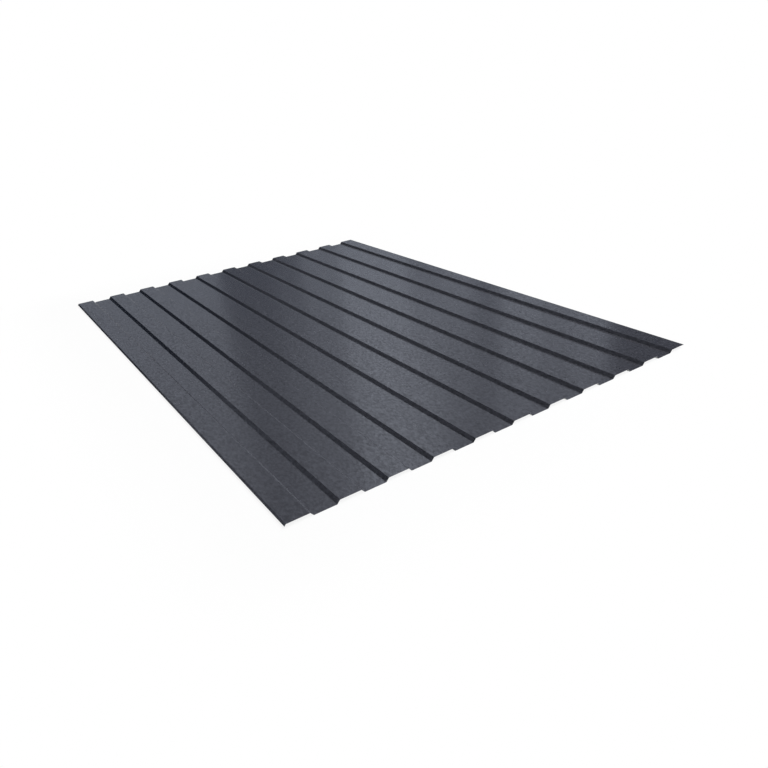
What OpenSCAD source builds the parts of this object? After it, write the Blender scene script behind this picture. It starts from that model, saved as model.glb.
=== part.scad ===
// Profiled steel sheet: flat ribs and flat pans roll-formed side by side into one coated sheet.
// +X runs across the ribs, +Y along them and +Z up. The sheet lies on its pans.
// The origin is under the middle of the sheet, level with the underside of the pans.

/* [Sheet] */
// Length of the sheet along its ribs
sheet_length = 1700; // [500:10:6000]
// Thickness of the coated steel
sheet_thickness = 0.5; // [0.4:0.05:0.8]

/* [Ribs] */
// Number of pans, each with a rib on both sides
pan_count = 10; // [2:1:14]
// Distance from one rib to the next
rib_pitch = 115; // [100:1:140]
// Rise of a rib above the pans, top face to top face
rib_height = 8; // [6:0.5:12]
// Width of a rib's crest, corner to corner
crest_width = 49.5; // [35:0.5:60]
// Width that one sloping web takes up, seen from above
web_run = 7; // [4:0.5:10]
// Radius inside each bend
bend_radius = 0.8; // [0.5:0.1:2.5]

/* [Edges] */
// Crest width of the lap rib, at the edge that covers the next sheet
lap_crest_width = 51.5; // [40:0.5:65]
// How far the lap rib's lip comes down
lip_drop = 4; // [3:0.5:6]
// Crest width of the end rib, at the edge that the next sheet covers
end_crest_width = 50; // [35:0.5:60]

/* [Hidden] */

// Flat steps that round off one bend
bend_steps = 6;

half_thickness = sheet_thickness / 2;
pan_width = rib_pitch - crest_width - 2 * web_run;
web_angle = atan2(rib_height, web_run);
// The lip slopes as the webs do
lip_run = lip_drop * web_run / rib_height;

// Heights of the centre line, halfway through the thickness
pan_level = half_thickness;
crest_level = rib_height + half_thickness;
lip_level = crest_level - lip_drop;

// The cut edge of the lip reaches past the centre line's end
lip_overhang = half_thickness * sin(web_angle);
section_width =
    lip_overhang + lip_run + lap_crest_width + pan_count * rib_pitch - crest_width + end_crest_width;
lip_start = lip_overhang - section_width / 2;
lap_start = lip_start + lip_run;
first_pan_start = lap_start + lap_crest_width;
end_edge = section_width / 2;

// Corners of one pan and its two webs, from the crest before it to the crest after it
function pan_corners(start) = [
    [start, crest_level],
    [start + web_run, pan_level],
    [start + web_run + pan_width, pan_level],
    [start + web_run + pan_width + web_run, crest_level]
];

// Corners of the centre line, from the lip's edge to the end rib's edge
section_corners = [
    [lip_start, lip_level],
    [lap_start, crest_level],
    for (pan = [0 : pan_count - 1]) each pan_corners(first_pan_start + pan * rib_pitch),
    [end_edge, crest_level]
];

function direction(heading) = [cos(heading), sin(heading)];
function left_of(heading) = [-sin(heading), cos(heading)];
function heading_between(from, to) = atan2(to.y - from.y, to.x - from.x);

// Stations round one bend: each is a point of the centre line and the heading there
function bend_stations(before, corner, after) =
    let (
        radius = bend_radius + half_thickness,
        heading_in = heading_between(before, corner),
        turn = heading_between(corner, after) - heading_in,
        side = sign(turn),
        bend_start = corner - radius * tan(abs(turn) / 2) * direction(heading_in),
        centre = bend_start + side * radius * left_of(heading_in)
    )
    [
        for (step = [0 : bend_steps])
            let (heading = heading_in + turn * step / bend_steps)
            [centre - side * radius * left_of(heading), heading]
    ];

last_corner = len(section_corners) - 1;
stations = [
    [section_corners[0], web_angle],
    for (i = [1 : last_corner - 1])
        each bend_stations(section_corners[i - 1], section_corners[i], section_corners[i + 1]),
    [section_corners[last_corner], 0]
];

// One face of the sheet, as the centre line moved sideways by an offset
function face_points(offset) = [
    for (station = stations) station[0] + offset * left_of(station[1])
];
function reversed(points) = [for (i = [len(points) - 1 : -1 : 0]) points[i]];

module section() {
    polygon(concat(face_points(-half_thickness), reversed(face_points(half_thickness))));
}

module profiled_sheet() {
    color("#474a51")
        rotate([90, 0, 0])
            linear_extrude(height = sheet_length, center = true)
                section();
}

profiled_sheet();
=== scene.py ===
import math

import bmesh
import bpy
from mathutils import Matrix, Vector


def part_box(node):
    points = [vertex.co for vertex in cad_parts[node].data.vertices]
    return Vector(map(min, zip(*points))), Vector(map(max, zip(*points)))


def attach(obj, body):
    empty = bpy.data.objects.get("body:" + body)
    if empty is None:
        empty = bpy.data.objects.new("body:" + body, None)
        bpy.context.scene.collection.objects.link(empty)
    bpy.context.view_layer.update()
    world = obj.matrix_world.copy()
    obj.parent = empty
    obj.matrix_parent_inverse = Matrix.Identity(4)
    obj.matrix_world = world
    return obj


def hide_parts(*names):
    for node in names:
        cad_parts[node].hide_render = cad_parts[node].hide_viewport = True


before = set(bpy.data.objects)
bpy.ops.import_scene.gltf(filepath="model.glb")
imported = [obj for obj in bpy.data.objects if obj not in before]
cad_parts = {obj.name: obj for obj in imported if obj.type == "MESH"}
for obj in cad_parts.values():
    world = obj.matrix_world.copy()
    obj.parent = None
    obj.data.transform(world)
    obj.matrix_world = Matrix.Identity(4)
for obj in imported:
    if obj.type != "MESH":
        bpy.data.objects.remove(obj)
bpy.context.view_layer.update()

# Sizes of the sheet in metres: +X runs across the ribs, +Y along them and +Z up
MM = 0.001
SHEET_THICKNESS = 0.5 * MM
PAN_COUNT = 10
RIB_PITCH = 115 * MM
RIB_HEIGHT = 8 * MM
CREST_WIDTH = 49.5 * MM
WEB_RUN = 7 * MM
BEND_RADIUS = 0.8 * MM
BEND_STEPS = 6
LAP_CREST_WIDTH = 51.5 * MM
LIP_DROP = 4 * MM
END_CREST_WIDTH = 50 * MM
BURR_ROUNDING = 0.06 * MM
BURR_STEPS = 2
BURR_ANGLE = math.radians(60)

# Places that follow from the sizes and the frame
node_low, node_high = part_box("profiled_sheet")
SHEET_LENGTH = node_high.y - node_low.y
HALF_THICKNESS = SHEET_THICKNESS / 2
PAN_LEVEL = node_low.z + HALF_THICKNESS
CREST_LEVEL = PAN_LEVEL + RIB_HEIGHT
LIP_LEVEL = CREST_LEVEL - LIP_DROP
LIP_RUN = LIP_DROP * WEB_RUN / RIB_HEIGHT
END_EDGE = node_high.x
FIRST_PAN_START = END_EDGE - END_CREST_WIDTH + CREST_WIDTH - PAN_COUNT * RIB_PITCH
LAP_START = FIRST_PAN_START - LAP_CREST_WIDTH
LIP_START = LAP_START - LIP_RUN

# Camera at the photograph's viewing angle
CAMERA_EYE = Vector((-0.9729, -1.8086, 0.7732))
CAMERA_HEADING = math.radians(32.523)
CAMERA_PITCH = math.radians(26.124)
CAMERA_ROLL = math.radians(4.539)
CAMERA_LENS = 31.72
CAMERA_SENSOR = 36.0


class TreeBuilder:
    """Adds nodes to a tree. A socket is given a plain value, or the output that it is linked to."""

    def __init__(self, tree):
        self.tree = tree

    def feed(self, socket, value):
        if isinstance(value, bpy.types.NodeSocket):
            self.tree.links.new(value, socket)
        else:
            socket.default_value = value

    def add(self, kind, feeds=None, **settings):
        node = self.tree.nodes.new(kind)
        for name, value in settings.items():
            setattr(node, name, value)
        for name, value in (feeds or {}).items():
            self.feed(node.inputs[name], value)
        return node

    def math(self, operation, *values):
        node = self.add("ShaderNodeMath", dict(enumerate(values)), operation=operation)
        return node.outputs[0]

    def vector_math(self, operation, *values):
        node = self.add("ShaderNodeVectorMath", dict(enumerate(values)), operation=operation)
        return node.outputs["Value" if operation == "LENGTH" else "Vector"]

    def ramp(self, value, low, high, low_result, high_result):
        """A value that goes smoothly from one result to the other between two limits."""
        feeds = {
            "Value": value,
            "From Min": low,
            "From Max": high,
            "To Min": low_result,
            "To Max": high_result,
        }
        return self.add("ShaderNodeMapRange", feeds, interpolation_type="SMOOTHSTEP").outputs[0]

    def between(self, value, low, high, blend):
        """One between two limits, fading to zero outside them."""
        rise = self.ramp(value, low - blend, low, 0.0, 1.0)
        fall = self.ramp(value, high, high + blend, 1.0, 0.0)
        return self.math("MULTIPLY", rise, fall)


def new_group(name, kind, inputs, outputs):
    """A node group with named sockets: its builder, its input sockets and its output node."""
    tree = bpy.data.node_groups.new(name, kind)
    for label, socket_type in inputs.items():
        tree.interface.new_socket(label, in_out="INPUT", socket_type=socket_type)
    for label, socket_type in outputs.items():
        tree.interface.new_socket(label, in_out="OUTPUT", socket_type=socket_type)
    build = TreeBuilder(tree)
    return build, build.add("NodeGroupInput").outputs, build.add("NodeGroupOutput")


# Shape of the sheet
ROLL_FORMING_SIZES = {
    "Pan Count": PAN_COUNT,
    "Bend Steps": BEND_STEPS,
    "Rib Pitch": RIB_PITCH,
    "Crest Width": CREST_WIDTH,
    "Web Run": WEB_RUN,
    "Pan Level": PAN_LEVEL,
    "Crest Level": CREST_LEVEL,
    "Lip Level": LIP_LEVEL,
    "Lip Start": LIP_START,
    "Lap Start": LAP_START,
    "First Pan Start": FIRST_PAN_START,
    "End Edge": END_EDGE,
    "Bend Radius": BEND_RADIUS + HALF_THICKNESS,
    "Sheet Length": SHEET_LENGTH,
}
# The lip's edge and the lap crest's corner come before the first pan
POINTS_BEFORE_PANS = 2
CORNERS_PER_PAN = 4
# A point has the wanted number when the two are closer than half a step
HALF_STEP = 0.5


def corner_choice(build, corner, choices):
    """One of the choices, by the number of a pan's corner."""
    node = build.add("GeometryNodeIndexSwitch", {"Index": corner}, data_type="FLOAT")
    while len(node.index_switch_items) < len(choices):
        node.index_switch_items.new()
    for number, value in enumerate(choices):
        build.feed(node.inputs[str(number)], value)
    return node.outputs[0]


def place_points(build, points, x, y, z, number=None):
    """Puts every point of the section at a place, or only the one with that number."""
    node = build.add("GeometryNodeSetPosition", {"Geometry": points})
    place = build.add("ShaderNodeCombineXYZ", {"X": x, "Y": y, "Z": z})
    build.feed(node.inputs["Position"], place.outputs[0])
    if number is not None:
        index = build.add("GeometryNodeInputIndex").outputs[0]
        build.feed(node.inputs["Selection"], build.math("COMPARE", index, number, HALF_STEP))
    return node.outputs[0]


def roll_forming_tree():
    """Lip, crests, webs and pans as one bent section, drawn out along the sheet."""
    sockets = {
        name: "NodeSocketInt" if isinstance(size, int) else "NodeSocketFloat"
        for name, size in ROLL_FORMING_SIZES.items()
    }
    sockets["Coat"] = "NodeSocketMaterial"
    build, given, result = new_group(
        "Roll forming", "GeometryNodeTree", sockets, {"Geometry": "NodeSocketGeometry"}
    )
    math_node = build.math

    # Four corners for each pan
    pan_points = math_node("MULTIPLY", given["Pan Count"], CORNERS_PER_PAN)
    last_point = math_node("ADD", pan_points, POINTS_BEFORE_PANS)
    point_count = math_node("ADD", last_point, 1)
    index = build.add("GeometryNodeInputIndex").outputs[0]
    pan_index = math_node("SUBTRACT", index, POINTS_BEFORE_PANS)
    pan = math_node("FLOOR", math_node("DIVIDE", pan_index, CORNERS_PER_PAN))
    corner = math_node("FLOORED_MODULO", pan_index, CORNERS_PER_PAN)
    pan_end = math_node("SUBTRACT", given["Rib Pitch"], given["Crest Width"])
    far_foot = math_node("SUBTRACT", pan_end, given["Web Run"])
    across_pan = corner_choice(build, corner, [0.0, given["Web Run"], far_foot, pan_end])
    crest, floor = given["Crest Level"], given["Pan Level"]
    level = corner_choice(build, corner, [crest, floor, floor, crest])
    pan_start = math_node("MULTIPLY_ADD", pan, given["Rib Pitch"], given["First Pan Start"])
    across = math_node("ADD", pan_start, across_pan)

    # The lap crest with its lip, and the end crest
    front = math_node("MULTIPLY", given["Sheet Length"], -0.5)
    points = build.add("GeometryNodeMeshLine", {"Count": point_count}).outputs[0]
    points = place_points(build, points, across, front, level)
    points = place_points(build, points, given["Lip Start"], front, given["Lip Level"], number=0)
    points = place_points(build, points, given["Lap Start"], front, crest, number=1)
    points = place_points(build, points, given["End Edge"], front, crest, number=last_point)

    # Rounded bends, drawn out to the sheet's length
    section = build.add("GeometryNodeMeshToCurve", {"Mesh": points}).outputs[0]
    bends = build.add("GeometryNodeFilletCurve", {"Curve": section}, mode="POLY")
    build.feed(bends.inputs["Count"], given["Bend Steps"])
    build.feed(bends.inputs["Radius"], given["Bend Radius"])
    outline = build.add("GeometryNodeCurveToMesh", {"Curve": bends.outputs[0]}).outputs[0]
    drawn = build.add("GeometryNodeExtrudeMesh", {"Mesh": outline}, mode="EDGES")
    along = build.add("ShaderNodeCombineXYZ", {"Y": given["Sheet Length"]})
    build.feed(drawn.inputs["Offset"], along.outputs[0])
    upward = build.add("GeometryNodeFlipFaces", {"Mesh": drawn.outputs[0]}).outputs[0]
    smooth = build.add("GeometryNodeSetShadeSmooth", {"Geometry": upward}).outputs[0]
    whole = build.add("GeometryNodeRealizeInstances", {"Geometry": smooth}).outputs[0]
    coated = build.add("GeometryNodeSetMaterial", {"Geometry": whole, "Material": given["Coat"]})
    build.feed(result.inputs["Geometry"], coated.outputs[0])
    return build.tree


def profiled_sheet(coat, backing, cut_steel):
    """The sheet as one plain mesh: coat on top, backing underneath and bare steel on the cut edges."""
    piece = bpy.data.objects.new("sheet", bpy.data.meshes.new("sheet"))
    bpy.context.scene.collection.objects.link(piece)
    finishes = (coat, backing, cut_steel)
    for finish in finishes:
        piece.data.materials.append(finish)
    forming = piece.modifiers.new("roll forming", "NODES")
    forming.node_group = roll_forming_tree()
    sizes = dict(ROLL_FORMING_SIZES, Coat=coat)
    for item in forming.node_group.interface.items_tree:
        if item.in_out == "INPUT":
            forming[item.identifier] = sizes[item.name]
    wall = piece.modifiers.new("steel thickness", "SOLIDIFY")
    wall.thickness = SHEET_THICKNESS
    wall.offset = 0
    wall.use_even_offset = True
    wall.material_offset = finishes.index(backing)
    wall.material_offset_rim = finishes.index(cut_steel)
    burr = piece.modifiers.new("cut edges", "BEVEL")
    burr.width = BURR_ROUNDING
    burr.segments = BURR_STEPS
    burr.limit_method = "ANGLE"
    burr.angle_limit = BURR_ANGLE
    piece.modifiers.new("flat faces stay flat", "WEIGHTED_NORMAL")
    depsgraph = bpy.context.evaluated_depsgraph_get()
    mesh = bpy.data.meshes.new_from_object(piece.evaluated_get(depsgraph))
    # The new mesh may come with fewer slots than there are finishes
    for finish in finishes[len(mesh.materials):]:
        mesh.materials.append(finish)
    piece.modifiers.clear()
    piece.data = mesh
    return piece


# Finish of the top side: a dark coat whose grain the coating line draws out along the sheet
GRAPHITE = (0.042, 0.043, 0.0515, 1.0)
GRAPHITE_FLECK = (0.0645, 0.066, 0.079, 1.0)
COAT_ROUGHNESSES = (0.16, 0.12)
COAT_GLOSS = 0.185
GRAIN_SIZE = 6.0 * MM
GRAIN_SCALE = (1.0, 0.6, 1.0)
GRAIN_DETAIL = 2.0
GRAIN_ROUGHNESS = 0.6
GRAIN_LIMITS = (0.3, 0.7)
GRAIN_RELIEF = 0.12 * MM
# Clear lacquer over the coat, thick and thin in small patches
PATCH_SCALE = (1.2, 0.5, 1.2)
PATCH_ROUGHNESS = 0.9
PATCH_LIMITS = (0.4, 0.6)
LACQUER_WEIGHTS = (0.0, 0.67)
LACQUER_ROUGHNESS = 0.14
# Finish of the underside
BACKING_GREY = (0.42, 0.43, 0.42, 1.0)
BACKING_FLECK = (0.462, 0.473, 0.462, 1.0)
BACKING_GRAIN_SIZE = 4.0 * MM
BACKING_ROUGHNESS = 0.55
# Finish of the cut edges
BARE_ZINC = (0.52, 0.53, 0.54, 1.0)
DULL_ZINC = (0.364, 0.371, 0.378, 1.0)
ZINC_MOTTLE_SIZE = 0.8 * MM
ZINC_MOTTLE_DETAIL = 2.0
CUT_METALLIC = 0.8
CUT_ROUGHNESS = 0.45


def drawn_out_noise(build, place, frequency, scale, roughness):
    """Noise with its own scale across and along the sheet."""
    feeds = {
        "Vector": build.vector_math("MULTIPLY", place, scale),
        "Scale": frequency,
        "Detail": GRAIN_DETAIL,
        "Roughness": roughness,
    }
    return build.add("ShaderNodeTexNoise", feeds).outputs[0]


def coating_grain_group():
    """Grain of a baked coat: a tone for its colour, a height for its relief, and patches of lacquer."""
    build, given, result = new_group(
        "coating grain",
        "ShaderNodeTree",
        {"Position": "NodeSocketVector", "Grain Size": "NodeSocketFloat"},
        {"Tone": "NodeSocketFloat", "Height": "NodeSocketFloat", "Lacquer": "NodeSocketFloat"},
    )
    frequency = build.math("DIVIDE", 1.0, given["Grain Size"])
    grains = drawn_out_noise(build, given["Position"], frequency, GRAIN_SCALE, GRAIN_ROUGHNESS)
    patches = drawn_out_noise(build, given["Position"], frequency, PATCH_SCALE, PATCH_ROUGHNESS)
    build.feed(result.inputs["Tone"], build.ramp(grains, *GRAIN_LIMITS, 0.0, 1.0))
    build.feed(result.inputs["Height"], grains)
    build.feed(result.inputs["Lacquer"], build.ramp(patches, *PATCH_LIMITS, *LACQUER_WEIGHTS))
    return build.tree


def new_material(name):
    """A node material with its Principled shader: builder, shader and Object coordinates."""
    material = bpy.data.materials.new(name)
    material.use_nodes = True
    build = TreeBuilder(material.node_tree)
    shader = material.node_tree.nodes["Principled BSDF"]
    place = build.add("ShaderNodeTexCoord").outputs["Object"]
    return material, build, shader, place


def grain_node(build, group, place, size):
    """The grain group placed in one material."""
    return build.add("ShaderNodeGroup", {"Position": place, "Grain Size": size}, node_tree=group)


# The Mix node has sockets of the same names for numbers and vectors before those for colours
FIRST_COLOUR_INPUT = 6
SECOND_COLOUR_INPUT = 7
COLOUR_OUTPUT = 2


def mix_colour(build, factor, first, second):
    """The first colour at a factor of zero, the second at one."""
    feeds = {"Factor": factor, FIRST_COLOUR_INPUT: first, SECOND_COLOUR_INPUT: second}
    return build.add("ShaderNodeMix", feeds, data_type="RGBA").outputs[COLOUR_OUTPUT]


def graphite_coat(grain):
    """Dark coat of the top side, with a fine speckle and patches of lacquer."""
    material, build, shader, place = new_material("graphite coat")
    speckle = grain_node(build, grain, place, GRAIN_SIZE).outputs
    colour = mix_colour(build, speckle["Tone"], GRAPHITE, GRAPHITE_FLECK)
    build.feed(shader.inputs["Base Color"], colour)
    rough = build.ramp(speckle["Tone"], 0.0, 1.0, *COAT_ROUGHNESSES)
    build.feed(shader.inputs["Roughness"], rough)
    shader.inputs["Specular IOR Level"].default_value = COAT_GLOSS
    build.feed(shader.inputs["Coat Weight"], speckle["Lacquer"])
    shader.inputs["Coat Roughness"].default_value = LACQUER_ROUGHNESS
    relief = {"Strength": 1.0, "Distance": GRAIN_RELIEF, "Height": speckle["Height"]}
    build.feed(shader.inputs["Normal"], build.add("ShaderNodeBump", relief).outputs[0])
    return material


def backing_coat(grain):
    """Thin light grey backing coat of the underside."""
    material, build, shader, place = new_material("backing coat")
    speckle = grain_node(build, grain, place, BACKING_GRAIN_SIZE).outputs
    colour = mix_colour(build, speckle["Tone"], BACKING_GREY, BACKING_FLECK)
    build.feed(shader.inputs["Base Color"], colour)
    shader.inputs["Roughness"].default_value = BACKING_ROUGHNESS
    return material


def cut_steel():
    """Bare zinc and steel of the sheared edges, with a fine mottle."""
    material, build, shader, place = new_material("cut steel")
    mottle = {"Vector": place, "Scale": 1.0 / ZINC_MOTTLE_SIZE, "Detail": ZINC_MOTTLE_DETAIL}
    noise = build.add("ShaderNodeTexNoise", mottle).outputs[0]
    build.feed(shader.inputs["Base Color"], mix_colour(build, noise, DULL_ZINC, BARE_ZINC))
    shader.inputs["Metallic"].default_value = CUT_METALLIC
    shader.inputs["Roughness"].default_value = CUT_ROUGHNESS
    return material


# Studio: pale floor, round backdrop, soft lamps
STUDIO_RADIUS = 50.0
STUDIO_SIDES = 96
BACKDROP_HEIGHT = 60.0
PALE = (0.95, 0.95, 0.95, 1.0)
WHITE = (1.0, 1.0, 1.0, 1.0)
ROOM_GREY = (0.05, 0.05, 0.05, 1.0)
COOL_WHITE = (0.82, 0.88, 1.0)
NEUTRAL_WHITE = (1.0, 1.0, 1.0)
# Round the room the backdrop is blue grey, and paler away from the camera's heading
BLUE_GREY = (0.155, 0.17, 0.217, 1.0)
PALE_BLUE_GREY = (0.33, 0.355, 0.45, 1.0)
PALE_ANGLES = (math.radians(52), math.radians(68))
# Where the camera looks it is white, up to a height that falls from left to right
WHITE_AZIMUTHS = (math.radians(1), math.radians(66))
WHITE_HEIGHTS = (5.6, 2.4)
WHITE_BLEND = 0.4
# Midnight cloth hangs above the white, and stands up to a lower height on its left
MIDNIGHT = (0.008, 0.018, 0.04, 1.0)
CLOTH_AZIMUTHS = (math.radians(-2), math.radians(68))
LOW_CLOTH_AZIMUTHS = (math.radians(-26), math.radians(-2))
LOW_CLOTH_HEIGHTS = (13.5, 17.0)
AZIMUTH_BLEND = math.radians(2)
# Close to the sheet the floor is not all plain white, so that it takes the shadow
FLOOR_WHITE_SHARE = 0.88
FLOOR_SHADOW_REACH = 0.3


def studio_finish(name, look):
    """A pale surface. The camera and reflections see a look's colour on it, as far as its share goes."""
    material = bpy.data.materials.new(name)
    material.use_nodes = True
    build = TreeBuilder(material.node_tree)
    nodes = material.node_tree.nodes
    nodes.remove(nodes["Principled BSDF"])
    colour, share = look(build, build.add("ShaderNodeTexCoord").outputs["Object"])
    path = build.add("ShaderNodeLightPath").outputs
    seen = build.math("MAXIMUM", path["Is Camera Ray"], path["Is Glossy Ray"])
    seen = build.math("MAXIMUM", seen, path["Is Transmission Ray"])
    pale = build.add("ShaderNodeBsdfDiffuse", {"Color": PALE})
    plain = build.add("ShaderNodeEmission", {"Color": colour})
    mix = build.add("ShaderNodeMixShader", {"Fac": build.math("MULTIPLY", seen, share)})
    build.feed(mix.inputs[1], pale.outputs[0])
    build.feed(mix.inputs[2], plain.outputs[0])
    build.feed(nodes["Material Output"].inputs["Surface"], mix.outputs[0])
    return material


def floor_look(build, place):
    """White everywhere but close to the sheet, where the floor takes its shadow."""
    half_size = (END_EDGE, SHEET_LENGTH / 2, 0.0)
    outward = build.vector_math("ABSOLUTE", place)
    outward = build.vector_math("SUBTRACT", outward, half_size)
    outward = build.vector_math("MAXIMUM", outward, (0.0, 0.0, 0.0))
    distance = build.vector_math("LENGTH", outward)
    return WHITE, build.ramp(distance, 0.0, FLOOR_SHADOW_REACH, FLOOR_WHITE_SHARE, 1.0)


def backdrop_look(build, place):
    """White low down behind the sheet, dark above and to its left, blue grey all round."""
    part = build.add("ShaderNodeSeparateXYZ", {"Vector": place}).outputs
    azimuth = build.math("ARCTAN2", part["X"], part["Y"])
    beside = build.between(azimuth, *LOW_CLOTH_AZIMUTHS, AZIMUTH_BLEND)
    low_cloth = build.ramp(part["Z"], *LOW_CLOTH_HEIGHTS, beside, 0.0)
    cloth = build.math("MAXIMUM", low_cloth, build.between(azimuth, *CLOTH_AZIMUTHS, AZIMUTH_BLEND))
    away = build.math("ABSOLUTE", build.math("SUBTRACT", azimuth, CAMERA_HEADING))
    pale = mix_colour(build, build.ramp(away, *PALE_ANGLES, 0.0, 1.0), BLUE_GREY, PALE_BLUE_GREY)
    framed = build.between(azimuth, *WHITE_AZIMUTHS, AZIMUTH_BLEND)
    white_top = build.ramp(azimuth, *WHITE_AZIMUTHS, *WHITE_HEIGHTS)
    white = build.ramp(part["Z"], white_top, build.math("ADD", white_top, WHITE_BLEND), framed, 0.0)
    return mix_colour(build, white, mix_colour(build, cloth, pale, MIDNIGHT), WHITE), 1.0


def studio():
    """Floor and round backdrop."""
    floor = bmesh.new()
    bmesh.ops.create_circle(floor, cap_ends=True, segments=STUDIO_SIDES, radius=STUDIO_RADIUS)
    wall = bmesh.new()
    bmesh.ops.create_circle(wall, segments=STUDIO_SIDES, radius=STUDIO_RADIUS)
    raised = bmesh.ops.extrude_edge_only(wall, edges=wall.edges[:])
    top = [part for part in raised["geom"] if isinstance(part, bmesh.types.BMVert)]
    bmesh.ops.translate(wall, verts=top, vec=(0, 0, BACKDROP_HEIGHT))
    for name, shape, look in (("floor", floor, floor_look), ("backdrop", wall, backdrop_look)):
        mesh = bpy.data.meshes.new(name)
        shape.to_mesh(mesh)
        shape.free()
        mesh.materials.append(studio_finish(name, look))
        surface = bpy.data.objects.new(name, mesh)
        bpy.context.scene.collection.objects.link(surface)


def compass(azimuth, elevation):
    """Unit vector: azimuth in degrees from +Y towards +X, elevation in degrees above the floor."""
    turn, rise = math.radians(azimuth), math.radians(elevation)
    flat = math.cos(rise)
    return Vector((flat * math.sin(turn), flat * math.cos(turn), math.sin(rise)))


def softbox(name, place, facing, width, height, radiances, colour):
    """A rectangular lamp that looks along facing, with one radiance at its foot and one at its top."""
    foot, top = radiances
    lamp = bpy.data.lights.new(name, "AREA")
    lamp.shape = "RECTANGLE"
    lamp.size, lamp.size_y = width, height
    lamp.energy = math.pi * width * height
    lamp.color = colour
    lamp.use_nodes = True
    build = TreeBuilder(lamp.node_tree)
    across = build.add("ShaderNodeNewGeometry").outputs["Parametric"]
    rise = build.add("ShaderNodeSeparateXYZ", {"Vector": across}).outputs["Y"]
    grade = build.add("ShaderNodeMapRange", {"Value": rise, "To Min": foot, "To Max": top})
    build.feed(lamp.node_tree.nodes["Emission"].inputs["Strength"], grade.outputs[0])
    box = bpy.data.objects.new(name, lamp)
    turn = facing.to_track_quat("-Z", "Y").to_matrix().to_4x4()
    box.matrix_world = Matrix.Translation(place) @ turn
    box.visible_camera = False
    bpy.context.scene.collection.objects.link(box)


# Key lamp high on the sheet's right
KEY_AZIMUTH, KEY_ELEVATION = 105, 56
KEY_DISTANCE = 12.0
KEY_SIDE = 9.0
KEY_RADIANCE = 7.0
# Tall panels behind the sheet: left and right azimuth, radiance at the foot and at the top
PANEL_DISTANCE = 25.0
PANEL_ELEVATIONS = (10, 42)
PANELS = {
    "left panel": (-2, 18.5, 0.26, 0.8),
    "dim panel": (18.5, 23.5, 0.02, 0.33),
    "rising panel": (23.5, 26, 0.03, 0.7),
    "middle panel": (26, 29.6, 0.25, 0.64),
    "bright panel": (29.6, 36, 0.29, 1.65),
    "fading panel": (36, 39, 0.07, 1.55),
    "right panel": (39, 42.3, 0.41, 0.5),
    "shaded panel": (42.3, 44.5, 0.15, 0.38),
    "far right panel": (44.5, 48.5, 0.43, 0.76),
    "end panel": (48.5, 51.5, 0.38, 0.46),
    "last panel": (51.5, 54.8, 0.5, 0.6),
}


def lamps():
    """One broad key lamp, and tall panels for the sheet to mirror."""
    key_place = compass(KEY_AZIMUTH, KEY_ELEVATION)
    key_grade = (KEY_RADIANCE, KEY_RADIANCE)
    softbox("key", key_place * KEY_DISTANCE, -key_place, KEY_SIDE, KEY_SIDE, key_grade, NEUTRAL_WHITE)
    low, high = (PANEL_DISTANCE * math.tan(math.radians(e)) for e in PANEL_ELEVATIONS)
    for name, (left, right, *radiances) in PANELS.items():
        facing = -compass((left + right) / 2, 0)
        place = -facing * PANEL_DISTANCE + Vector((0, 0, (low + high) / 2))
        width = 2 * PANEL_DISTANCE * math.tan(math.radians(right - left) / 2)
        softbox(name, place, facing, width, high - low, radiances, COOL_WHITE)
    world = bpy.data.worlds.new("room")
    world.use_nodes = True
    world.node_tree.nodes["Background"].inputs["Color"].default_value = ROOM_GREY
    bpy.context.scene.world = world


def camera():
    """The photograph's camera."""
    data = bpy.data.cameras.new("camera")
    data.lens = CAMERA_LENS
    data.sensor_width = CAMERA_SENSOR
    view = bpy.data.objects.new("camera", data)
    turn = Matrix.Rotation(-CAMERA_HEADING, 4, "Z")
    tip = Matrix.Rotation(math.pi / 2 - CAMERA_PITCH, 4, "X")
    roll = Matrix.Rotation(-CAMERA_ROLL, 4, "Z")
    view.matrix_world = Matrix.Translation(CAMERA_EYE) @ turn @ tip @ roll
    bpy.context.scene.collection.objects.link(view)
    bpy.context.scene.camera = view


camera()
grain = coating_grain_group()
sheet = profiled_sheet(graphite_coat(grain), backing_coat(grain), cut_steel())
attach(sheet, "root")
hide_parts("profiled_sheet")
studio()
lamps()
bpy.context.scene.view_settings.view_transform = "Standard"
